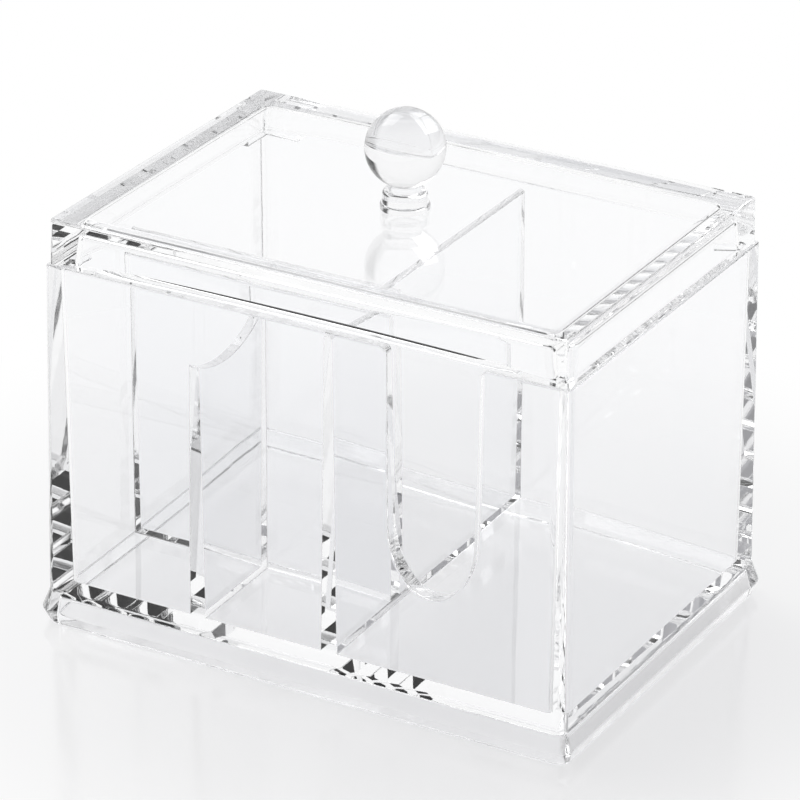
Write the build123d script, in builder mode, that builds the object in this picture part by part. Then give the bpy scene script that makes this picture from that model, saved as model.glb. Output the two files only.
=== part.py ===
from build123d import *
import os

# A clear moulded box for cotton pads, swabs and small cosmetics, with a lift-off lid.
# Millimetres. X runs left to right, Y front to back, Z up.
# The origin is the middle of the footprint, on the surface that the box stands on.

# ---- Case: outside ----
CASE_LENGTH = 140.0        # over the rim, left to right
CASE_DEPTH = 98.0          # over the rim, front to back
RIM_HEIGHT = 94.7
RIM_ROUNDING = 0.5
FLARE_HEIGHT = 8.7         # where the walls turn out into the foot
FLARE_SPREAD = 1.3         # how far each side stands out from the rim there, by the mould's draft
FOOT_EDGE_HEIGHT = 3.6     # the widest line of the foot
FOOT_EDGE_SPREAD = 3.2
FOOT_SOLE_SPREAD = 1.8     # the edge that the box stands on
FOOT_CORNER = 3.5
FLARE_CORNER = 2.0
RIM_CORNER = 1.2

# ---- Case: inside ----
FLOOR_TOP = 10.6
RECESS_HEIGHT = 6.0        # the air space under the floor
SKIRT_AT_SOLE = 2.4        # the foot's thickness at the edge that the box stands on
RECESS_SPREAD = -1.0       # how far the top of the air space stands out from the rim
RECESS_CORNER = 1.5
WALL_AT_RIM = 2.9
INSIDE_DRAFT = 1.1         # how much each inner face leans in, from the rim to the floor
INSIDE_CORNER = 2.0
FLOOR_ROUNDING = 1.5

# ---- Finger notch in the front wall of the pad well ----
NOTCH_X = 35.2
NOTCH_WIDTH_AT_RIM = 24.4
NOTCH_WIDTH = 22.4         # where the straight sides meet the round bottom
NOTCH_ROUND = 17.0         # height of the round bottom, half an ellipse
NOTCH_BOTTOM = 33.6
NOTCH_CORNER = 2.0
NOTCH_CUT_INSIDE = 7.0     # the cutting shape starts this far in from the rim's front face
NOTCH_CUT = 12.0

# ---- Dividers ----
LONG_DIVIDER_X = 6.6
LONG_DIVIDER_TOP = 92.9
CROSS_DIVIDER_Y = -14.8
CROSS_DIVIDER_TOP = 89.5
SCOOPED_DIVIDER_X = -29.8
SCOOP_AT_FRONT = 79.0      # height of the scooped edge where it meets the front wall
SCOOP_LOWEST = 73.8
SCOOP_AT_BACK = 81.0
SCOOP_LOWEST_Y = -34.0
DIVIDER_AT_TOP = 2.0       # thickness
DIVIDER_AT_FLOOR = 4.2
DIVIDER_TIP_ROUNDING = 0.8

# ---- Lid ----
LID_HEIGHT = 11.7
LID_INSET = 0.75           # the step from the rim's outer face to the lid's
LID_DRAFT = 0.2
LID_PLATE = 4.1
LID_WALL = 4.75
LID_WALL_DRAFT = 1.0
LID_CORNER = 1.2
LID_INSIDE_CORNER = 3.0
LID_EDGE_ROUNDING = 0.5
LID_INSIDE_ROUNDING = 1.0
RIB_DROP = 1.6             # corner ribs that keep the lid in place
RIB_CLEARANCE = 0.5
RIB_LEG = 11.0             # along each side of the corner
RIB_THICKNESS = 2.0
RIB_CORNER = 1.6

# ---- Knob ----
BALL_DIAMETER = 19.4
BALL_CENTRE = 15.2         # above the lid
FLANGE_DIAMETER = 12.0
FLANGE_THICKNESS = 1.5
NECK_DIAMETER = 10.8
NECK_TOP = 4.7             # above the lid
STEM_DIAMETER = 8.0
NECK_ROUNDING = 1.0
FLANGE_ROUNDING = 0.5

LID_BOTTOM = RIM_HEIGHT
LID_TOP = RIM_HEIGHT + LID_HEIGHT
HALF_DEPTH = CASE_DEPTH / 2
OVERSHOOT = 2.0            # how far a cutting shape runs past what it cuts
NEAR = 1.0                 # margin for choosing edges and faces by their place
SQUARE = 0.2               # a face counts as square to an axis while its normal leans less

os.makedirs("parts", exist_ok=True)


def outline(height, spread, corner):
    """A level rounded rectangle that stands out from the rim's outline by the given spread."""
    with BuildSketch(Plane.XY.offset(height)) as section:
        RectangleRounded(CASE_LENGTH + 2 * spread, CASE_DEPTH + 2 * spread, corner)
    return section.sketch


def inside_spread(height):
    """How far the inner wall face stands from the rim's outline, at a height."""
    return -WALL_AT_RIM - INSIDE_DRAFT * (RIM_HEIGHT - height) / (RIM_HEIGHT - FLOOR_TOP)


def divider_profile(plane, middle, top):
    """A standing wedge, thin and rounded at its top, drawn across the divider."""
    half_top = DIVIDER_AT_TOP / 2
    half_floor = DIVIDER_AT_FLOOR / 2
    with BuildSketch(plane) as profile:
        with BuildLine():
            Polyline(
                (middle - half_floor, FLOOR_TOP),
                (middle - half_top, top),
                (middle + half_top, top),
                (middle + half_floor, FLOOR_TOP),
                close=True,
            )
        make_face()
        fillet(profile.vertices().sort_by(Axis.Y)[-2:], DIVIDER_TIP_ROUNDING)
    return profile.sketch


def border_edges(faces):
    """The edges that only one of these faces has: the outline of the strip that they make."""
    edges = ShapeList(edge for face in faces for edge in face.edges())
    return edges.filter_by(lambda edge: sum(edge.is_same(other) for other in edges) == 1)


# ---- The space inside the walls: it hollows the case and trims the dividers ----
with BuildPart() as inside:
    inside_top = RIM_HEIGHT + OVERSHOOT
    loft(
        [
            outline(FLOOR_TOP, inside_spread(FLOOR_TOP), INSIDE_CORNER),
            outline(inside_top, inside_spread(inside_top), INSIDE_CORNER),
        ],
        ruled=True,
    )
    fillet(inside.faces().sort_by(Axis.Z)[0].edges(), FLOOR_ROUNDING)

# ---- Case: walls, floor and flared foot in one moulding ----
with BuildPart() as case:
    loft(
        [
            outline(0, FOOT_SOLE_SPREAD, FOOT_CORNER),
            outline(FOOT_EDGE_HEIGHT, FOOT_EDGE_SPREAD, FOOT_CORNER),
            outline(FLARE_HEIGHT, FLARE_SPREAD, FLARE_CORNER),
            outline(RIM_HEIGHT, 0, RIM_CORNER),
        ],
        ruled=True,
    )
    add(inside.part, mode=Mode.SUBTRACT)

    # the air space under the floor
    loft(
        [
            outline(0, FOOT_SOLE_SPREAD - SKIRT_AT_SOLE, RECESS_CORNER),
            outline(RECESS_HEIGHT, RECESS_SPREAD, RECESS_CORNER),
        ],
        ruled=True,
        mode=Mode.SUBTRACT,
    )

    # the finger notch, open to the rim
    half_notch = NOTCH_WIDTH / 2
    notch_turn = NOTCH_BOTTOM + NOTCH_ROUND
    half_mouth = NOTCH_WIDTH_AT_RIM / 2
    with BuildSketch(Plane.XZ.offset(HALF_DEPTH - NOTCH_CUT_INSIDE)):
        with BuildLine():
            Polyline(
                (NOTCH_X - half_notch, notch_turn),
                (NOTCH_X - half_mouth, RIM_HEIGHT),
                (NOTCH_X - half_mouth, RIM_HEIGHT + OVERSHOOT),
                (NOTCH_X + half_mouth, RIM_HEIGHT + OVERSHOOT),
                (NOTCH_X + half_mouth, RIM_HEIGHT),
                (NOTCH_X + half_notch, notch_turn),
            )
            EllipticalCenterArc((NOTCH_X, notch_turn), half_notch, NOTCH_ROUND, 180, arc_size=180)
        make_face()
    extrude(amount=NOTCH_CUT, mode=Mode.SUBTRACT)
    mouth_corners = (
        case.edges()
        .filter_by(Axis.Y, tolerance=1)
        .filter_by_position(Axis.Z, RIM_HEIGHT - NEAR, RIM_HEIGHT + NEAR)
        .filter_by_position(Axis.X, NOTCH_X - half_mouth - NEAR, NOTCH_X + half_mouth + NEAR)
    )
    fillet(mouth_corners, NOTCH_CORNER)

    # both edges of the wall are rounded, all along the rim and down round the notch
    notch_faces = case.faces().filter_by(
        lambda face: face.bounding_box().max.Y < NOTCH_CUT_INSIDE - HALF_DEPTH
        and face.bounding_box().min.Z > NOTCH_BOTTOM - NEAR
        and abs(face.normal_at(face.center()).Y) < SQUARE
        and abs(face.center().X - NOTCH_X) < NOTCH_WIDTH
    )
    rim_face = case.faces().filter_by(Axis.Z).sort_by(Axis.Z)[-1]
    fillet(border_edges(notch_faces + [rim_face]), RIM_ROUNDING)

# ---- Dividers ----
with BuildPart() as long_divider:
    extrude(divider_profile(Plane.XZ, LONG_DIVIDER_X, LONG_DIVIDER_TOP), CASE_DEPTH, both=True)
    add(inside.part, mode=Mode.INTERSECT)

with BuildPart() as cross_divider:
    left_of_long_divider = Plane.YZ.offset(LONG_DIVIDER_X)
    extrude(divider_profile(left_of_long_divider, CROSS_DIVIDER_Y, CROSS_DIVIDER_TOP), -CASE_LENGTH)
    add(inside.part, mode=Mode.INTERSECT)
    add(long_divider.part, mode=Mode.SUBTRACT)

with BuildPart() as scooped_divider:
    before_cross_divider = Plane.XZ.offset(-CROSS_DIVIDER_Y)
    extrude(divider_profile(before_cross_divider, SCOOPED_DIVIDER_X, RIM_HEIGHT), CASE_DEPTH)
    add(inside.part, mode=Mode.INTERSECT)
    add(cross_divider.part, mode=Mode.SUBTRACT)
    with BuildSketch(Plane.YZ.offset(SCOOPED_DIVIDER_X)):
        with BuildLine():
            front_end = (-HALF_DEPTH, SCOOP_AT_FRONT)
            back_end = (CROSS_DIVIDER_Y, SCOOP_AT_BACK)
            ThreePointArc(front_end, (SCOOP_LOWEST_Y, SCOOP_LOWEST), back_end)
            Polyline(
                back_end,
                (CROSS_DIVIDER_Y, RIM_HEIGHT + OVERSHOOT),
                (-HALF_DEPTH, RIM_HEIGHT + OVERSHOOT),
                front_end,
            )
        make_face()
    extrude(amount=DIVIDER_AT_FLOOR, both=True, mode=Mode.SUBTRACT)

# ---- The space inside the lid ----
with BuildPart() as lid_inside:
    lid_inside_spread = -LID_INSET - LID_WALL
    loft(
        [
            outline(LID_BOTTOM, lid_inside_spread, LID_INSIDE_CORNER),
            outline(LID_TOP - LID_PLATE, lid_inside_spread - LID_WALL_DRAFT, LID_INSIDE_CORNER),
        ],
        ruled=True,
    )
    fillet(lid_inside.faces().sort_by(Axis.Z)[-1].edges(), LID_INSIDE_ROUNDING)

# ---- Lid: plate and walls in one moulding, with a locating rib at each corner ----
with BuildPart() as lid:
    loft(
        [
            outline(LID_BOTTOM, -LID_INSET, LID_CORNER),
            outline(LID_TOP, -LID_INSET - LID_DRAFT, LID_CORNER),
        ],
        ruled=True,
    )
    fillet(lid.faces().sort_by(Axis.Z)[-1].edges(), LID_EDGE_ROUNDING)
    add(lid_inside.part, mode=Mode.SUBTRACT)

    rib_length = CASE_LENGTH - 2 * (WALL_AT_RIM + RIB_CLEARANCE)
    rib_depth = CASE_DEPTH - 2 * (WALL_AT_RIM + RIB_CLEARANCE)
    with BuildSketch(Plane.XY.offset(LID_BOTTOM)):
        RectangleRounded(rib_length, rib_depth, RIB_CORNER)
        Rectangle(rib_length - 2 * RIB_THICKNESS, rib_depth - 2 * RIB_THICKNESS, mode=Mode.SUBTRACT)
        Rectangle(rib_length - 2 * RIB_LEG, rib_depth, mode=Mode.SUBTRACT)
        Rectangle(rib_length, rib_depth - 2 * RIB_LEG, mode=Mode.SUBTRACT)
    extrude(amount=-RIB_DROP)

# ---- Knob: a ball on a flanged neck, cemented to the lid ----
ball_radius = BALL_DIAMETER / 2
ball_middle = LID_TOP + BALL_CENTRE
with BuildPart() as knob_ball:
    with Locations((0, 0, ball_middle)):
        Sphere(ball_radius)

with BuildPart() as knob_collar:
    stem_radius = STEM_DIAMETER / 2
    seat_edge = ball_middle - (ball_radius**2 - stem_radius**2) ** 0.5
    with BuildSketch(Plane.XZ) as collar_profile:
        with BuildLine():
            Polyline(
                (0, LID_TOP),
                (FLANGE_DIAMETER / 2, LID_TOP),
                (FLANGE_DIAMETER / 2, LID_TOP + FLANGE_THICKNESS),
                (NECK_DIAMETER / 2, LID_TOP + FLANGE_THICKNESS),
                (NECK_DIAMETER / 2, LID_TOP + NECK_TOP),
                (stem_radius, LID_TOP + NECK_TOP),
                (stem_radius, seat_edge + OVERSHOOT),
                (0, seat_edge + OVERSHOOT),
                close=True,
            )
        make_face()
        neck_corners = collar_profile.vertices().group_by(Axis.X)[-2]
        fillet(neck_corners.sort_by(Axis.Y)[-1], NECK_ROUNDING)
        flange_corners = collar_profile.vertices().group_by(Axis.X)[-1]
        fillet(flange_corners.sort_by(Axis.Y)[-1], FLANGE_ROUNDING)
    revolve(axis=Axis.Z)
    add(knob_ball.part, mode=Mode.SUBTRACT)

for name, piece in (
    ("case", case),
    ("long_divider", long_divider),
    ("cross_divider", cross_divider),
    ("scooped_divider", scooped_divider),
    ("lid", lid),
    ("knob_collar", knob_collar),
    ("knob_ball", knob_ball),
):
    piece.part.label = name
    export_step(piece.part, f"parts/{name}.step")
    print(name, len(piece.part.solids()), round(piece.part.volume), piece.part.is_valid)
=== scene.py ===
# %% [markdown]
# # A clear plastic box with a lift-off lid
# The real object is a vanity box for round cotton pads and swabs: two clear mouldings, a case with three
# thin dividers and a lid, and a clear ball knob cemented on top. Clear plastic has no colour of its own, so
# everything that the eye reads is an edge: a rounded rim, a corner, the place where one wall meets another.
# The lesson is therefore mostly about edges, and about a stage that gives them something dark to show.

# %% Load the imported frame
import math

import bmesh
import bpy
from mathutils import Matrix, Vector


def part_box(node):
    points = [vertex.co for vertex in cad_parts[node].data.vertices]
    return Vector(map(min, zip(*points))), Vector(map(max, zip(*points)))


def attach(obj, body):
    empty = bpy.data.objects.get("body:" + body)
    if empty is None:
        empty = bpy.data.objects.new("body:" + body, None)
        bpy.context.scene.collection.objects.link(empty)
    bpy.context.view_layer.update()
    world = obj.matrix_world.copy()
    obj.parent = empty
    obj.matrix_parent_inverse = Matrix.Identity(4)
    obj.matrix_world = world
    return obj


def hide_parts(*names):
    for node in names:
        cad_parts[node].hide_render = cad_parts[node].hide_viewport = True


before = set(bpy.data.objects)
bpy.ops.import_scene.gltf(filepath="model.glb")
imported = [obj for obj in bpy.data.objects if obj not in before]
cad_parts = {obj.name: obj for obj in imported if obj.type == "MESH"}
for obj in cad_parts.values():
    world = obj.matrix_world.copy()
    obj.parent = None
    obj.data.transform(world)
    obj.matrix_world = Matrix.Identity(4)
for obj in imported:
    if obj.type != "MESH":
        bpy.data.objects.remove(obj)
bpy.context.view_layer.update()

MM = 0.001
TOUCH = 0.001 * MM

# %% [markdown]
# ## The camera
# The photograph was taken with a long lens from about a metre away, a little to the right of the front and
# above the rim. A camera is placed by the direction it looks from and the point it looks at, because those
# are the numbers that can be measured. The small roll is the photographer's, and the sideways shift is what
# is left of the crop.

# %% Camera
CAMERA_AZIMUTH = math.radians(29.5)
CAMERA_ELEVATION = math.radians(25.46)
CAMERA_ROLL = math.radians(0.30)
CAMERA_DISTANCE = 1.1098
AIM = Vector((0, 0, 0.05584))

camera = bpy.data.objects.new("camera", bpy.data.cameras.new("camera"))
bpy.context.scene.collection.objects.link(camera)
bpy.context.scene.camera = camera
turned = (
    Matrix.Rotation(CAMERA_AZIMUTH, 4, "Z")
    @ Matrix.Rotation(math.pi / 2 - CAMERA_ELEVATION, 4, "X")
    @ Matrix.Rotation(CAMERA_ROLL, 4, "Z")
)
towards_camera = (turned @ Vector((0, 0, 1, 0))).xyz
camera.matrix_world = Matrix.Translation(AIM + towards_camera * CAMERA_DISTANCE) @ turned
camera.data.sensor_width = 36.0
camera.data.lens = 207.1
camera.data.shift_x = -0.005
camera.data.clip_start = 0.05
camera.data.clip_end = 50.0
print("camera at", [round(x, 3) for x in camera.matrix_world.translation])

# %% [markdown]
# ## Sizes
# A moulding is one section swept round a rectangle. Each line of the section is a height and a spread, which
# is how far it stands out from the rim's outline, so the case and the lid can be written as a short list of
# rings. The overall sizes come from the frame, and the rest are the wall thicknesses and drafts that a
# moulder would put on the drawing.

# %% Sizes of the case and the lid, in metres
case_low, case_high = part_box("case")
lid_low, lid_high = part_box("lid")
FOOT_EDGE_SPREAD = 3.2 * MM
HALF_LENGTH = case_high.x - FOOT_EDGE_SPREAD
HALF_DEPTH = case_high.y - FOOT_EDGE_SPREAD
RIM_HEIGHT = case_high.z
LID_TOP = lid_high.z
FLOOR_TOP = 10.6 * MM
print("rim in mm:", [round(2 * half / MM, 1) for half in (HALF_LENGTH, HALF_DEPTH)])

# %% A ring: a level rounded rectangle, and a skin: rings joined one to the next
CORNER_SEGMENTS = 8


def ring(bm, height, spread, corner):
    """A level rounded rectangle: a square, stretched to its size, with its corners bevelled."""
    known = set(bm.faces)
    corners = bmesh.ops.create_grid(bm, x_segments=1, y_segments=1, size=1)["verts"]
    bmesh.ops.scale(bm, verts=corners, vec=(HALF_LENGTH + spread, HALF_DEPTH + spread, 1))
    bmesh.ops.translate(bm, verts=corners, vec=(0, 0, height))
    bmesh.ops.bevel(
        bm,
        geom=corners,
        offset=corner,
        segments=CORNER_SEGMENTS,
        profile=0.5,
        affect="VERTICES",
        material=-1,
    )
    return (set(bm.faces) - known).pop()


def skin(rings):
    """A closed shell through the rings, in order, whose first and last keep their faces.
    They are bridged while they stand one above the other, because rings in one plane bridge askew."""
    bm = bmesh.new()
    faces = [ring(bm, place, spread, corner) for place, (height, spread, corner) in enumerate(rings)]
    loops = [list(face.edges) for face in faces]
    corners = [list(face.verts) for face in faces]
    bmesh.ops.delete(bm, geom=faces[1:-1], context="FACES_ONLY")
    for lower, upper in zip(loops, loops[1:]):
        bmesh.ops.bridge_loops(bm, edges=lower + upper)
    for place, (height, spread, corner) in enumerate(rings):
        bmesh.ops.translate(bm, verts=corners[place], vec=(0, 0, height - place))
    bmesh.ops.recalc_face_normals(bm, faces=bm.faces)
    return bm


# %% Solids that cut or join
def object_of(bm, name):
    """The bmesh as an object of its own, at the origin."""
    mesh = bpy.data.meshes.new(name)
    bm.to_mesh(mesh)
    bm.free()
    piece = bpy.data.objects.new(name, mesh)
    bpy.context.scene.collection.objects.link(piece)
    return piece


def combined(base, tool, operation):
    """base with tool joined to it (UNION) or cut out of it (DIFFERENCE): both are used up."""
    kept, used = object_of(base, "kept"), object_of(tool, "used")
    boolean = kept.modifiers.new("combine", "BOOLEAN")
    boolean.operation = operation
    boolean.solver = "EXACT"
    boolean.object = used
    result = bmesh.new()
    result.from_object(kept, bpy.context.evaluated_depsgraph_get())
    for spent in (kept, used):
        mesh = spent.data
        bpy.data.objects.remove(spent)
        bpy.data.meshes.remove(mesh)
    bmesh.ops.remove_doubles(result, verts=result.verts, dist=TOUCH)
    return result


def block(low, high):
    """A rectangular block between two corners."""
    bm = bmesh.new()
    corners = bmesh.ops.create_cube(bm, size=1)["verts"]
    bmesh.ops.translate(bm, verts=corners, vec=(0.5, 0.5, 0.5))
    bmesh.ops.scale(bm, verts=corners, vec=Vector(high) - Vector(low))
    bmesh.ops.translate(bm, verts=corners, vec=low)
    return bm


def round_off(bm, edges, radius, segments):
    """Rounds these edges to the radius."""
    bmesh.ops.bevel(
        bm,
        geom=list(edges),
        offset=radius,
        offset_type="OFFSET",
        segments=segments,
        profile=0.5,
        affect="EDGES",
        clamp_overlap=True,
        material=-1,
    )


def level_edges(bm, height, beyond=-1.0):
    """The edges at this height, or only those that reach beyond this spread from the rim's outline."""
    return [
        edge
        for edge in bm.edges
        if all(
            abs(v.co.z - height) < TOUCH and max(abs(v.co.x) - HALF_LENGTH, abs(v.co.y) - HALF_DEPTH) > beyond
            for v in edge.verts
        )
    ]


# %% [markdown]
# ## The case
# Read from under the floor outwards, the section goes down the inside of the foot, over the narrow sole that
# the box stands on, out to the widest line of the foot, in again to the walls, up to the rim, and down the
# inside to the floor. The walls lean a little, because a moulding has to slide off its core. A cube with a
# Solidify modifier would be quicker, but its walls would be even and its foot square, and in clear plastic
# the changing thickness is what bends the light.

# %% Case: the section from the air space under the floor, round the foot and the rim, to the floor
RECESS_TOP = 6.0 * MM
FOOT_EDGE_HEIGHT = 3.6 * MM
FLARE_HEIGHT = 8.7 * MM
WALL_AT_RIM = 2.9 * MM
WALL_AT_FLOOR = 4.0 * MM
case = skin(
    [
        (RECESS_TOP, -1.0 * MM, 1.5 * MM),
        (0.0, -0.6 * MM, 1.5 * MM),
        (0.0, 1.8 * MM, 3.5 * MM),
        (FOOT_EDGE_HEIGHT, FOOT_EDGE_SPREAD, 3.5 * MM),
        (FLARE_HEIGHT, 1.3 * MM, 2.0 * MM),
        (RIM_HEIGHT, 0.0, 1.2 * MM),
        (RIM_HEIGHT, -WALL_AT_RIM, 2.0 * MM),
        (FLOOR_TOP, -WALL_AT_FLOOR, 2.0 * MM),
    ]
)
print("case skin:", len(case.faces), "faces")

# %% [markdown]
# ## Three dividers
# Two straight dividers and a low one with a hollowed top make the wells. They taper like the walls, and their
# free edges are rounded. A mirrored or arrayed plane would leave inner faces where a divider meets a wall,
# and clear plastic shows every inner face. So each divider is a block, tapered by scaling its top, that runs
# a little way into the walls and the floor, and a Boolean then melts all of them into one shell.

# %% Dividers
DIVIDER_AT_TOP = 2.0 * MM
DIVIDER_AT_FLOOR = 4.2 * MM
EMBED = 1.0 * MM
TIP_ROUNDING = 0.8 * MM
LONG_DIVIDER_X = 6.6 * MM
LONG_DIVIDER_TOP = 92.9 * MM
CROSS_DIVIDER_Y = -14.8 * MM
CROSS_DIVIDER_TOP = 89.5 * MM
SCOOPED_DIVIDER_X = -29.8 * MM
SCOOP = [(-49.0 * MM, 79.0 * MM), (-34.0 * MM, 73.8 * MM), (-16.0 * MM, 81.0 * MM)]


def runs_along_y(edge):
    """True for an edge that keeps the same X."""
    return abs(edge.verts[0].co.x - edge.verts[1].co.x) < TOUCH


def wedge(middle, reach, top):
    """A standing wall along Y between two places, thinner at its top, with a rounded top edge."""
    half = DIVIDER_AT_FLOOR / 2
    bm = block((middle - half, reach[0], FLOOR_TOP), (middle + half, reach[1], top))
    upper = [v for v in bm.verts if v.co.z > FLOOR_TOP + TOUCH]
    about_middle = Matrix.Translation((-middle, 0, 0))
    bmesh.ops.scale(bm, verts=upper, vec=(DIVIDER_AT_TOP / DIVIDER_AT_FLOOR, 1, 1), space=about_middle)
    round_off(bm, filter(runs_along_y, level_edges(bm, top)), TIP_ROUNDING, 4)
    lower = [v for v in bm.verts if v.co.z < FLOOR_TOP + TOUCH]
    bmesh.ops.translate(bm, verts=lower, vec=(0, 0, -EMBED))
    return bm


def circle_through(a, b, c):
    """The middle and the radius of the circle through three points."""
    a, b, c = Vector(a), Vector(b), Vector(c)
    middle = Matrix((b - a, c - a)).inverted() @ Vector(
        ((b.length_squared - a.length_squared) / 2, (c.length_squared - a.length_squared) / 2)
    )
    return middle, (a - middle).length


into_wall = HALF_DEPTH - WALL_AT_RIM + EMBED
long_divider = wedge(LONG_DIVIDER_X, (-into_wall, into_wall), LONG_DIVIDER_TOP)

# %% The cross divider is a wedge turned a quarter turn, from the long divider to the left wall
cross_reach = (-LONG_DIVIDER_X, HALF_LENGTH - WALL_AT_RIM + EMBED)
cross_divider = wedge(CROSS_DIVIDER_Y, cross_reach, CROSS_DIVIDER_TOP)
quarter_turn = Matrix.Rotation(math.pi / 2, 3, "Z")
bmesh.ops.rotate(cross_divider, verts=cross_divider.verts, cent=(0, 0, 0), matrix=quarter_turn)
print("cross divider:", len(cross_divider.faces), "faces")

# %% The scooped divider: a wedge with a cylinder cut out of its top
SCOOP_SEGMENTS = 128
SCOOP_EDGES_ABOVE = 60 * MM
SCOOP_EDGE_ANGLE = math.radians(50)
scoop_middle, scoop_radius = circle_through(*SCOOP)
scooped_divider = wedge(SCOOPED_DIVIDER_X, (-into_wall, CROSS_DIVIDER_Y), scoop_middle.y)
scoop = bmesh.new()
bmesh.ops.create_cone(
    scoop,
    cap_ends=True,
    segments=SCOOP_SEGMENTS,
    radius1=scoop_radius,
    radius2=scoop_radius,
    depth=4 * DIVIDER_AT_FLOOR,
)
bmesh.ops.rotate(scoop, verts=scoop.verts, cent=(0, 0, 0), matrix=Matrix.Rotation(math.pi / 2, 3, "Y"))
bmesh.ops.translate(scoop, verts=scoop.verts, vec=(SCOOPED_DIVIDER_X, *scoop_middle))
scooped_divider = combined(scooped_divider, scoop, "DIFFERENCE")
scooped_edges = [
    e
    for e in scooped_divider.edges
    if e.calc_face_angle() > SCOOP_EDGE_ANGLE
    and min(v.co.z for v in e.verts) > SCOOP_EDGES_ABOVE
    and abs(e.verts[0].co.y - e.verts[1].co.y) > TOUCH
]
round_off(scooped_divider, scooped_edges, TIP_ROUNDING, 3)
print("scoop radius in mm:", round(scoop_radius / MM, 1))

# %% Dividers moulded into the case
for divider in (long_divider, cross_divider, scooped_divider):
    case = combined(case, divider, "UNION")


SHARP_CORNER = math.radians(40)


def is_well_corner(edge):
    """True for the inward corners where dividers, walls and floor meet."""
    inside = all(
        v.co.z > FLOOR_TOP - TOUCH and abs(v.co.x) < HALF_LENGTH - MM and abs(v.co.y) < HALF_DEPTH - MM
        for v in edge.verts
    )
    return inside and not edge.is_convex and edge.calc_face_angle() > SHARP_CORNER


WELL_ROUNDING = 1.0 * MM
round_off(case, filter(is_well_corner, case.edges), WELL_ROUNDING, 3)
print("case with dividers:", len(case.faces), "faces")

# %% [markdown]
# ## The finger notch and the rounded edges
# A deep notch in the front of the pad well lets a finger reach the last pad. It is a block cut out of the
# wall, and its bottom is half an ellipse: the lower edges of the block are bevelled to half its width, and
# the round part is then stretched downwards. After the cut, one bevel runs along the rim and down round the
# notch, as on the mould. A sharp edge of clear plastic shows as nothing at all, and a rounded one as a line.

# %% Finger notch
NOTCH_X = 35.2 * MM
NOTCH_WIDTH_AT_RIM = 24.4 * MM
NOTCH_WIDTH = 22.4 * MM
NOTCH_ROUND = 17.0 * MM
NOTCH_BOTTOM = 33.6 * MM
NOTCH_CORNER = 2.0 * MM
NOTCH_CUT_OUTSIDE = 5 * MM
NOTCH_CUT_INSIDE = 7 * MM
RIM_ROUNDING = 0.5 * MM
front = -HALF_DEPTH
notch = block(
    (NOTCH_X - NOTCH_WIDTH / 2, front - NOTCH_CUT_OUTSIDE, NOTCH_BOTTOM),
    (NOTCH_X + NOTCH_WIDTH / 2, front + NOTCH_CUT_INSIDE, RIM_HEIGHT),
)
mouth = [v for v in notch.verts if v.co.z > NOTCH_BOTTOM + TOUCH]
about_middle = Matrix.Translation((-NOTCH_X, 0, 0))
bmesh.ops.scale(notch, verts=mouth, vec=(NOTCH_WIDTH_AT_RIM / NOTCH_WIDTH, 1, 1), space=about_middle)
ALMOST_ALL = 0.98
nearly_half = NOTCH_WIDTH / 2 * ALMOST_ALL
round_off(notch, filter(runs_along_y, level_edges(notch, NOTCH_BOTTOM)), nearly_half, 20)
round_part = [v for v in notch.verts if v.co.z < NOTCH_BOTTOM + nearly_half + MM]
about_bottom = Matrix.Translation((0, 0, -NOTCH_BOTTOM))
bmesh.ops.scale(notch, verts=round_part, vec=(1, 1, NOTCH_ROUND / nearly_half), space=about_bottom)
above_rim = [v for v in notch.verts if v.co.z > RIM_HEIGHT - TOUCH]
bmesh.ops.translate(notch, verts=above_rim, vec=(0, 0, EMBED))
case = combined(case, notch, "DIFFERENCE")


def near_notch(point):
    """True for places on the cut through the front wall."""
    across = abs(point.x - NOTCH_X) < NOTCH_WIDTH
    return across and point.y < front + NOTCH_CUT_INSIDE and point.z > NOTCH_BOTTOM - MM


mouth_corners = [
    e for e in level_edges(case, RIM_HEIGHT) if all(near_notch(v.co) for v in e.verts) and runs_along_y(e)
]
round_off(case, mouth_corners, NOTCH_CORNER, 6)


def is_rim(face):
    """True for the flat top of the wall and for the cut faces of the notch."""
    middle = face.calc_center_median()
    flat_top = face.normal.z > 0.99 and middle.z > RIM_HEIGHT - TOUCH
    return flat_top or (near_notch(middle) and abs(face.normal.y) < 0.2)


# %% Rounded edges of the rim, the notch and the foot
SOLE_ROUNDING = 0.5 * MM
FOOT_EDGE_ROUNDING = 0.5 * MM
FLARE_ROUNDING = 0.6 * MM
RECESS_ROUNDING = 0.6 * MM
case.normal_update()
rim_border = [e for e in case.edges if sum(is_rim(face) for face in e.link_faces) == 1]
round_off(case, rim_border, RIM_ROUNDING, 4)
round_off(case, level_edges(case, 0.0), SOLE_ROUNDING, 2)
round_off(case, level_edges(case, FOOT_EDGE_HEIGHT), FOOT_EDGE_ROUNDING, 3)
round_off(case, level_edges(case, FLARE_HEIGHT), FLARE_ROUNDING, 3)
round_off(case, level_edges(case, RECESS_TOP), RECESS_ROUNDING, 3)
print("finished case:", len(case.faces), "faces")

# %% [markdown]
# ## The lid
# The lid is a shallow tray upside down, thick enough to feel solid. Its wall stands on the rim, and the long
# sides bow up a little between the corners, as a moulding does when it cools: that bow, and the slope inside
# it, is the dark line between lid and case. The section is the same kind of list as the case's. The bow needs
# points along the wall, so flat cuts slice the shell, and the points of the lower edge are then lifted.

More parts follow.
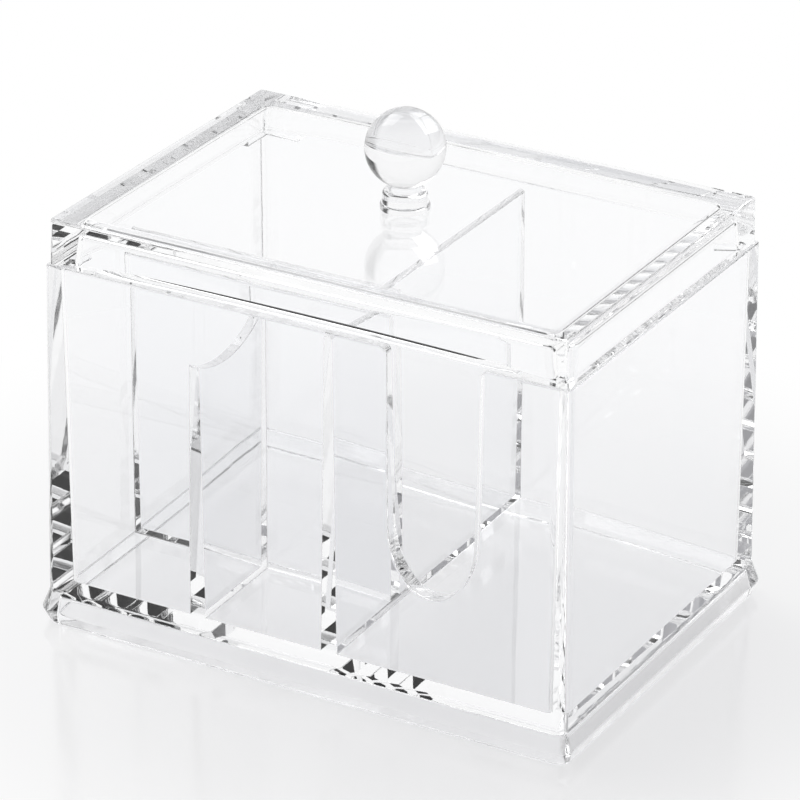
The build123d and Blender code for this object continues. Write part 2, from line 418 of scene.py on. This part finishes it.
# %% Lid: the section from under the plate, down the inside of the wall and up the outside
LID_GAP = 0.05 * MM
LID_INSET = 0.75 * MM
LID_WALL = 4.75 * MM
LID_SEAT = 2.5 * MM
LID_PLATE = 4.1 * MM
LID_WALL_DRAFT = 1.0 * MM
LID_DRAFT = 0.2 * MM
LID_CORNER = 1.2 * MM
LID_SEAT_CORNER = 2.0 * MM
LID_INSIDE_CORNER = 3.0 * MM
lid_bottom = RIM_HEIGHT + LID_GAP
lid_ceiling = LID_TOP - LID_PLATE
lid = skin(
    [
        (lid_ceiling, -LID_INSET - LID_WALL - LID_WALL_DRAFT, LID_INSIDE_CORNER),
        (lid_bottom, -LID_INSET - LID_WALL, LID_INSIDE_CORNER),
        (lid_bottom, -LID_INSET - LID_SEAT, LID_SEAT_CORNER),
        (lid_bottom, -LID_INSET, LID_CORNER),
        (LID_TOP, -LID_INSET - LID_DRAFT, LID_CORNER),
    ]
)
print("lid skin:", len(lid.faces), "faces")

# %% The bow of the two long sides
BOW = 0.8 * MM
BOW_SLOPE = 0.7 * MM
BOW_REACH = HALF_LENGTH - 11 * MM
BOW_CUTS = 24
SLOPE_RISE = 3
for cut in range(BOW_CUTS + 1):
    place = BOW_REACH * (2 * cut / BOW_CUTS - 1)
    everything = lid.verts[:] + lid.edges[:] + lid.faces[:]
    bmesh.ops.bisect_plane(lid, geom=everything, dist=TOUCH, plane_co=(place, 0, 0), plane_no=(1, 0, 0))
seat_line = HALF_DEPTH - LID_INSET - LID_SEAT
for v in lid.verts:
    if abs(v.co.z - lid_bottom) < TOUCH and abs(v.co.x) < BOW_REACH and abs(v.co.y) > HALF_DEPTH / 2:
        share = 1 - (v.co.x / BOW_REACH) ** 2
        sloping = abs(v.co.y) < seat_line - TOUCH
        v.co.z += share * BOW + (min(1, SLOPE_RISE * share) * BOW_SLOPE if sloping else 0)
print("bow in mm:", BOW / MM)

# %% Rounded edges of the lid
LID_TOP_ROUNDING = 0.9 * MM
LID_CEILING_ROUNDING = 1.8 * MM
round_off(lid, level_edges(lid, LID_TOP), LID_TOP_ROUNDING, 4)
round_off(lid, level_edges(lid, lid_ceiling), LID_CEILING_ROUNDING, 6)

# %% [markdown]
# ## Locating ribs
# Something has to keep a loose lid from sliding off. Here it is a short L-shaped rib inside each corner of
# the rim. One rib is two blocks joined, with its outer corner rounded to follow the inside of the case, and
# the other three are mirror images. A mirrored mesh is inside out, so its faces are turned round again.

# %% Locating ribs
RIB_DROP = 1.6 * MM
RIB_CLEARANCE = 0.5 * MM
RIB_LEG = 11.0 * MM
RIB_THICKNESS = 2.0 * MM
RIB_CORNER = 1.6 * MM
RIB_ROUNDING = 0.3 * MM
NEARLY_FLAT = math.radians(1)
rib_x = HALF_LENGTH - WALL_AT_RIM - RIB_CLEARANCE
rib_y = HALF_DEPTH - WALL_AT_RIM - RIB_CLEARANCE
rib_bottom = lid_bottom - RIB_DROP
rib_top = lid_bottom + RIB_ROUNDING


def corner_rib(side_x, side_y):
    """The L-shaped rib of one corner."""
    along_x = block((rib_x - RIB_LEG, rib_y - RIB_THICKNESS, rib_bottom), (rib_x, rib_y, rib_top))
    along_y = block((rib_x - RIB_THICKNESS, rib_y - RIB_LEG, rib_bottom), (rib_x, rib_y, rib_top))
    rib = combined(along_x, along_y, "UNION")
    bmesh.ops.dissolve_limit(rib, angle_limit=NEARLY_FLAT, verts=rib.verts, edges=rib.edges)
    corner_line = Vector((rib_x, rib_y))
    outer_corner = [
        e for e in rib.edges if all((v.co.xy - corner_line).length < TOUCH for v in e.verts)
    ]
    round_off(rib, outer_corner, RIB_CORNER, 6)
    round_off(rib, level_edges(rib, rib_bottom, beyond=-HALF_DEPTH), RIB_ROUNDING, 2)
    bmesh.ops.scale(rib, verts=rib.verts, vec=(side_x, side_y, 1))
    bmesh.ops.recalc_face_normals(rib, faces=rib.faces)
    return rib


for side_x in (-1, 1):
    for side_y in (-1, 1):
        lid = combined(lid, corner_rib(side_x, side_y), "UNION")
print("lid with ribs:", len(lid.faces), "faces")

# %% [markdown]
# ## The knob
# The knob is turned: a round flange, a short neck, and a polished ball. Its outline is drawn once on one side
# of the axis, the round of the ball by one spin of its last point, and a second spin sweeps the outline all
# the way round. A UV sphere on a cylinder would leave faces inside, which clear plastic would show as a lens.

# %% Knob: the outline of the flange and the neck
BALL_DIAMETER = 19.4 * MM
FLANGE_DIAMETER = 12.0 * MM
FLANGE_THICKNESS = 1.5 * MM
NECK_DIAMETER = 10.8 * MM
NECK_TOP = 4.7 * MM
STEM_DIAMETER = 8.0 * MM
KNOB_GAP = 0.03 * MM
ball_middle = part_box("knob_ball")[1].z - BALL_DIAMETER / 2
stem_top = ball_middle - math.sqrt(BALL_DIAMETER**2 - STEM_DIAMETER**2) / 2
profile = [
    (0, KNOB_GAP),
    (FLANGE_DIAMETER / 2, KNOB_GAP),
    (FLANGE_DIAMETER / 2, FLANGE_THICKNESS),
    (NECK_DIAMETER / 2, FLANGE_THICKNESS),
    (NECK_DIAMETER / 2, NECK_TOP),
    (STEM_DIAMETER / 2, NECK_TOP),
    (STEM_DIAMETER / 2, stem_top - LID_TOP),
]
print("ball middle in mm:", round(ball_middle / MM, 1))

# %% Knob: the outline is spun into a solid
BALL_STEPS = 48
TURN_STEPS = 96
knob = bmesh.new()
corners = [knob.verts.new((radius, 0, LID_TOP + height)) for radius, height in profile]
for first, second in zip(corners, corners[1:]):
    knob.edges.new((first, second))
seat_angle = math.asin(STEM_DIAMETER / BALL_DIAMETER)
bmesh.ops.spin(
    knob,
    geom=[corners[-1]],
    cent=(0, 0, ball_middle),
    axis=(0, 1, 0),
    angle=-(math.pi - seat_angle),
    steps=BALL_STEPS,
)
bmesh.ops.spin(
    knob,
    geom=knob.verts[:] + knob.edges[:],
    cent=(0, 0, 0),
    axis=(0, 0, 1),
    angle=2 * math.pi,
    steps=TURN_STEPS,
    use_merge=True,
)
bmesh.ops.remove_doubles(knob, verts=knob.verts, dist=TOUCH)
bmesh.ops.recalc_face_normals(knob, faces=knob.faces)


def circle_edges(bm, radius, height):
    """The edges of a turned corner."""
    return [
        e
        for e in bm.edges
        if all(abs(v.co.z - height) < TOUCH and abs(v.co.xy.length - radius) < TOUCH for v in e.verts)
    ]


NECK_ROUNDING = 1.0 * MM
FLANGE_ROUNDING = 0.5 * MM
SEAT_ROUNDING = 0.4 * MM
round_off(knob, circle_edges(knob, NECK_DIAMETER / 2, LID_TOP + NECK_TOP), NECK_ROUNDING, 5)
round_off(knob, circle_edges(knob, FLANGE_DIAMETER / 2, LID_TOP + FLANGE_THICKNESS), FLANGE_ROUNDING, 4)
round_off(knob, circle_edges(knob, STEM_DIAMETER / 2, stem_top), SEAT_ROUNDING, 3)
print("knob:", len(knob.faces), "faces")

# %% [markdown]
# ## From meshes to pieces
# A clear moulding needs two kinds of surface: flat faces that stay perfectly flat, and rounded edges that
# shade smoothly into them. Smooth shading alone bends the light on the flat faces as well. The Weighted
# Normal modifier lets the large faces decide the normals, and edges over 35 degrees stay sharp. Each piece
# then rides on its body, so that the lid lifts with its knob.

# %% Pieces
SHARP_EDGE = math.radians(35)


def finished(bm, name, body, replaced):
    """Shows the bmesh as a piece that rides on its body and stands for CAD nodes."""
    bmesh.ops.recalc_face_normals(bm, faces=bm.faces)
    for face in bm.faces:
        face.smooth = True
    piece = object_of(bm, name)
    piece.data.set_sharp_from_angle(angle=SHARP_EDGE)
    normals = piece.modifiers.new("flat faces stay flat", "WEIGHTED_NORMAL")
    normals.keep_sharp = True
    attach(piece, body)
    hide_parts(*replaced)
    print(name, len(piece.data.polygons), "faces")
    return piece


case_moulding = finished(
    case, "case_moulding", "case", ["case", "long_divider", "cross_divider", "scooped_divider"]
)
lid_moulding = finished(lid, "lid_moulding", "lid", ["lid"])
knob_turning = finished(knob, "knob_turning", "lid", ["knob_collar", "knob_ball"])

# %% [markdown]
# ## A short way to write shader nodes
# Node maths reads best as a formula. A small class wraps a socket, so that 1 - mask or noise * 0.02 adds the
# Math node that it needs, and one method adds any other node: its type, its settings, then its inputs, each
# a plain value or another socket.

# %% Nodes as expressions
class Socket:
    """The output of a node: + - and * add Math nodes."""

    def __init__(self, nodes, output):
        self.nodes = nodes
        self.output = output

    def math(self, operation, first, second):
        return self.nodes.add("ShaderNodeMath", {"operation": operation}, {0: first, 1: second})

    def __add__(self, other):
        return self.math("ADD", self, other)

    def __rsub__(self, other):
        return self.math("SUBTRACT", other, self)

    def __mul__(self, other):
        return self.math("MULTIPLY", self, other)

    __radd__ = __add__
    __rmul__ = __mul__


class Nodes:
    """The node tree of a material or a world."""

    def __init__(self, owner):
        owner.use_nodes = True
        self.tree = owner.node_tree
        self.tree.nodes.clear()

    def add(self, kind, settings=None, inputs=None, output=0):
        node = self.tree.nodes.new(kind)
        for name, value in (settings or {}).items():
            setattr(node, name, value)
        for name, value in (inputs or {}).items():
            if isinstance(value, Socket):
                self.tree.links.new(value.output, node.inputs[name])
            else:
                node.inputs[name].default_value = value
        return Socket(self, node.outputs[output]) if node.outputs else None


def seen_directly(nodes):
    """1 for rays from the camera, or through or off something clear or shiny, and 0 for soft light."""
    names = ("Is Camera Ray", "Is Glossy Ray", "Is Transmission Ray")
    camera_ray, glossy_ray, clear_ray = (nodes.add("ShaderNodeLightPath", output=name) for name in names)
    return nodes.add(
        "ShaderNodeMath", {"operation": "ADD", "use_clamp": True}, {0: camera_ray + glossy_ray, 1: clear_ray}
    )


print("socket class ready")

# %% [markdown]
# ## Clear plastic
# Polished acrylic bends light by an index of 1.49, and has almost no colour: a thick piece looks faintly
# cool. A Glass shader would do, but Principled with full transmission also carries the tint. Real mouldings
# aren't optically perfect. The melt leaves long, shallow ripples in the surface, handling leaves a haze of
# fine marks, and both differ from place to place: noise on Object coordinates drives the tint, the roughness
# and a bump.
# Lamps shine through clear plastic, which path tracing finds only by luck. So for shadow rays the plastic is
# a plain filter, which takes a little light at each surface and leaves a pale shadow, and the soft light that
# the floor gathers for itself passes the plastic by.

# %% Clear plastic
PLASTIC_INDEX = 1.49
STREAK_STRETCH = (1.0, 1.0, 0.35)
FLOW_SCALE = 38.0
MARKS_SCALE = 420.0
MARKS_FROM = 0.22
MARKS_TO = 0.42
MARKS_IN_SURFACE = 0.02
SHADOW_TINT = (0.87, 0.87, 0.88, 1)


def clear_plastic(name, thin_tint, thick_tint, ripple, haze):
    """Clear plastic with uneven tint, moulding ripples of this height, and haze as roughness."""
    material = bpy.data.materials.new(name)
    nodes = Nodes(material)
    place = nodes.add("ShaderNodeTexCoord", output="Object")
    streaks = nodes.add("ShaderNodeMapping", inputs={"Vector": place, "Scale": STREAK_STRETCH})
    flow = nodes.add("ShaderNodeTexNoise", inputs={"Vector": streaks, "Scale": FLOW_SCALE, "Detail": 2.0})
    marks = nodes.add("ShaderNodeTexNoise", inputs={"Vector": place, "Scale": MARKS_SCALE, "Detail": 4.0})
    handled = nodes.add(
        "ShaderNodeMapRange",
        inputs={"Value": marks * flow, "From Min": MARKS_FROM, "From Max": MARKS_TO},
    )
    tint = nodes.add(
        "ShaderNodeMix",
        {"data_type": "RGBA"},
        {"Factor": flow, "A": (*thin_tint, 1), "B": (*thick_tint, 1)},
        output=2,
    )
    surface_height = flow + marks * MARKS_IN_SURFACE
    waves = nodes.add(
        "ShaderNodeBump", inputs={"Strength": 1.0, "Distance": ripple, "Height": surface_height}
    )
    plastic = nodes.add(
        "ShaderNodeBsdfPrincipled",
        inputs={
            "Base Color": tint,
            "Roughness": handled * haze,
            "IOR": PLASTIC_INDEX,
            "Transmission Weight": 1.0,
            "Normal": waves,
        },
    )
    filtered = nodes.add("ShaderNodeBsdfTransparent", inputs={"Color": SHADOW_TINT})
    shadow_ray = nodes.add("ShaderNodeLightPath", output="Is Shadow Ray")
    surface = nodes.add("ShaderNodeMixShader", inputs={0: shadow_ray, 1: plastic, 2: filtered})
    nodes.add("ShaderNodeOutputMaterial", inputs={"Surface": surface})
    return material


CASE_TINTS = ((0.990, 0.990, 0.993), (0.972, 0.976, 0.984))
LID_TINTS = ((0.993, 0.993, 0.995), (0.980, 0.983, 0.988))
KNOB_TINTS = ((0.985, 0.985, 0.990), (0.975, 0.978, 0.986))
MOULDED_RIPPLE = 0.03 * MM
MOULDED_HAZE = 0.03
POLISHED_RIPPLE = 0.005 * MM
POLISHED_HAZE = 0.02
finishes = (
    (case_moulding, "moulded clear case", CASE_TINTS, MOULDED_RIPPLE, MOULDED_HAZE),
    (lid_moulding, "moulded clear lid", LID_TINTS, MOULDED_RIPPLE, MOULDED_HAZE),
    (knob_turning, "polished clear knob", KNOB_TINTS, POLISHED_RIPPLE, POLISHED_HAZE),
)
for piece, name, (thin_tint, thick_tint), ripple, haze in finishes:
    piece.data.materials.append(clear_plastic(name, thin_tint, thick_tint, ripple, haze))
    piece.visible_diffuse = False
    print(piece.name, "is made of", piece.data.materials[0].name)

# %% [markdown]
# ## The stage
# A photographer lights clear things by what stands round them. Behind the box is white, and all the rest is
# black cloth: then faces show white, and every rounded edge that bends the view aside draws a dark line. The
# tent here is half a sphere with a window at the back. Its right-hand edge fades from white to black,
# because from straight ahead a hard edge would split the lid's shine in two. Only rays that have gone through
# or off something clear or shiny see the tent, so it takes no light from the floor, which the white world and
# one soft lamp light.

# %% Floor
def white_beyond(nodes, place, near, far):
    """0 near the box, rising to 1 far away."""
    distance = nodes.add("ShaderNodeVectorMath", {"operation": "LENGTH"}, {0: place}, output="Value")
    return nodes.add(
        "ShaderNodeMapRange",
        {"interpolation_type": "SMOOTHSTEP"},
        {"Value": distance, "From Min": near, "From Max": far},
    )


FLOOR_SIZE = 16.0
FLOOR_COLOUR = (0.93, 0.93, 0.935, 1)
FLOOR_INDEX = 1.45
FLOOR_GLOSS = 0.10
GRAIN_SCALE = 9.0
GRAIN_IN_GLOSS = 0.06
FLOOR_DROP = 0.2 * MM
WHITE_FROM = 0.085
WHITE_TO = 0.18
floor_mesh = bmesh.new()
bmesh.ops.create_grid(floor_mesh, x_segments=1, y_segments=1, size=FLOOR_SIZE / 2)
bmesh.ops.translate(floor_mesh, verts=floor_mesh.verts, vec=(0, 0, -FLOOR_DROP))
floor = object_of(floor_mesh, "floor")

floor_material = bpy.data.materials.new("pale table")
nodes = Nodes(floor_material)
place = nodes.add("ShaderNodeTexCoord", output="Object")
grain = nodes.add("ShaderNodeTexNoise", inputs={"Vector": place, "Scale": GRAIN_SCALE, "Detail": 3.0})
roughness = grain * GRAIN_IN_GLOSS + FLOOR_GLOSS
table = nodes.add(
    "ShaderNodeBsdfPrincipled",
    inputs={"Base Color": FLOOR_COLOUR, "Roughness": roughness, "IOR": FLOOR_INDEX},
)
WHITE = (1, 1, 1, 1)
white = nodes.add("ShaderNodeEmission", inputs={"Color": WHITE, "Strength": 1.0})
faded = white_beyond(nodes, place, WHITE_FROM, WHITE_TO) * seen_directly(nodes)
surface = nodes.add("ShaderNodeMixShader", inputs={0: faded, 1: table, 2: white})
nodes.add("ShaderNodeOutputMaterial", inputs={"Surface": surface})
floor.data.materials.append(floor_material)
print("floor:", FLOOR_SIZE, "m")

# %% World: white where it is seen, a little less where it lights the floor
SOFT_LIGHT = 0.78
world = bpy.data.worlds.new("white room")
bpy.context.scene.world = world
nodes = Nodes(world)
strength = seen_directly(nodes) * (1 - SOFT_LIGHT) + SOFT_LIGHT
room = nodes.add("ShaderNodeBackground", inputs={"Color": WHITE, "Strength": strength})
nodes.add("ShaderNodeOutputWorld", inputs={"Surface": room})
print("world ready")

# %% Black tent with a window at the back
TENT_RADIUS = 2.2
TENT_STEPS = 90
TENT_FOOT = math.radians(4)
WINDOW_LEFT = math.radians(82)
WINDOW_RIGHT = math.radians(32)
WINDOW_TOP = math.radians(54)
tent_mesh = bmesh.new()
bmesh.ops.create_uvsphere(tent_mesh, u_segments=TENT_STEPS, v_segments=TENT_STEPS, radius=TENT_RADIUS)
behind = -towards_camera.xy.normalized()


def is_open(face):
    """True under the tent's foot and in its window."""
    middle = face.calc_center_median()
    height = math.asin(middle.z / middle.length)
    turn = middle.xy.angle_signed(behind, 0)
    return height < TENT_FOOT or (-WINDOW_RIGHT < turn < WINDOW_LEFT and height < WINDOW_TOP)


bmesh.ops.delete(tent_mesh, geom=[face for face in tent_mesh.faces if is_open(face)], context="FACES")
tent = object_of(tent_mesh, "tent")
tent.visible_camera = False
tent.visible_diffuse = False
tent.visible_shadow = False
print("tent:", len(tent.data.polygons), "faces")


# %% Black cloth, grey on the front left, and fading to white at the window's right-hand edge
def reach(nodes, place, direction):
    """How far a place lies in this level direction."""
    return nodes.add(
        "ShaderNodeVectorMath", {"operation": "DOT_PRODUCT"}, {0: place, 1: direction}, output="Value"
    )


def ramp(nodes, value, low, high):
    """0 up to low, rising smoothly to 1 at high."""
    return nodes.add(
        "ShaderNodeMapRange",
        {"interpolation_type": "SMOOTHSTEP"},
        {"Value": value, "From Min": low, "From Max": high},
    )


def blend_colours(nodes, share, first, second):
    """The first colour, turning into the second as the share goes from 0 to 1."""
    return nodes.add(
        "ShaderNodeMix", {"data_type": "RGBA"}, {"Factor": share, "A": first, "B": second}, output=2
    )


BLACK_FROM = math.radians(44)
GREY_FROM = 1.0
GREY_TO = 1.9
SIDE_GREY = (0.40, 0.40, 0.42, 1)
TENT_BLACK = (0.02, 0.02, 0.02, 1)
to_the_back = (behind.x, behind.y, 0)
to_the_right = (behind.y, -behind.x, 0)
to_the_front_left = (-towards_camera.x, towards_camera.y, 0)
tent_material = bpy.data.materials.new("black cloth")
nodes = Nodes(tent_material)
place = nodes.add("ShaderNodeTexCoord", output="Object")
rightness = reach(nodes, place, to_the_right)
turn = rightness.math("ARCTAN2", rightness, reach(nodes, place, to_the_back))
near_window = 1 - ramp(nodes, turn, WINDOW_RIGHT, BLACK_FROM)
on_the_right = rightness.math("GREATER_THAN", rightness, 0.0)
height = nodes.add("ShaderNodeSeparateXYZ", inputs={0: place}, output="Z")
below_top = height.math("LESS_THAN", height, TENT_RADIUS * math.sin(WINDOW_TOP))
whiteness = near_window * on_the_right * below_top
greyness = ramp(nodes, reach(nodes, place, to_the_front_left), GREY_FROM, GREY_TO)
shade = blend_colours(nodes, whiteness, blend_colours(nodes, greyness, TENT_BLACK, SIDE_GREY), WHITE)
cloth = nodes.add("ShaderNodeEmission", inputs={"Color": shade, "Strength": 1.0})
nodes.add("ShaderNodeOutputMaterial", inputs={"Surface": cloth})
tent.data.materials.append(tent_material)
print("grey side faces", [round(x, 2) for x in to_the_front_left[:2]])

# %% Lamp
LAMP_SIZE = 1.0
LAMP_POWER = 8
LAMP_PLACE = Vector((-1.0, 0.3, 1.4))
lamp_data = bpy.data.lights.new("softbox", "AREA")
lamp_data.shape = "SQUARE"
lamp_data.size = LAMP_SIZE
lamp_data.energy = LAMP_POWER
lamp = bpy.data.objects.new("softbox", lamp_data)
bpy.context.scene.collection.objects.link(lamp)
aimed = (-LAMP_PLACE).to_track_quat("-Z", "Y").to_matrix().to_4x4()
lamp.matrix_world = Matrix.Translation(LAMP_PLACE) @ aimed
print("softbox:", LAMP_POWER, "W")

# %% [markdown]
# ## How far light is followed
# Light in a clear wall bounces on until it finds a way out, and every path that is cut off before that
# leaves a black patch. With Blender's usual 12 bounces, and even with 40, dark stripes show along the rim.

# %% Bounces
BOUNCES = 96
bpy.context.scene.view_settings.view_transform = "Standard"
cycles = bpy.context.scene.cycles
cycles.max_bounces = BOUNCES
cycles.transmission_bounces = BOUNCES
cycles.glossy_bounces = BOUNCES
cycles.transparent_max_bounces = BOUNCES
print("bounces:", BOUNCES)

# %% [markdown]
# ## The end

# %% Update the scene
bpy.context.view_layer.update()
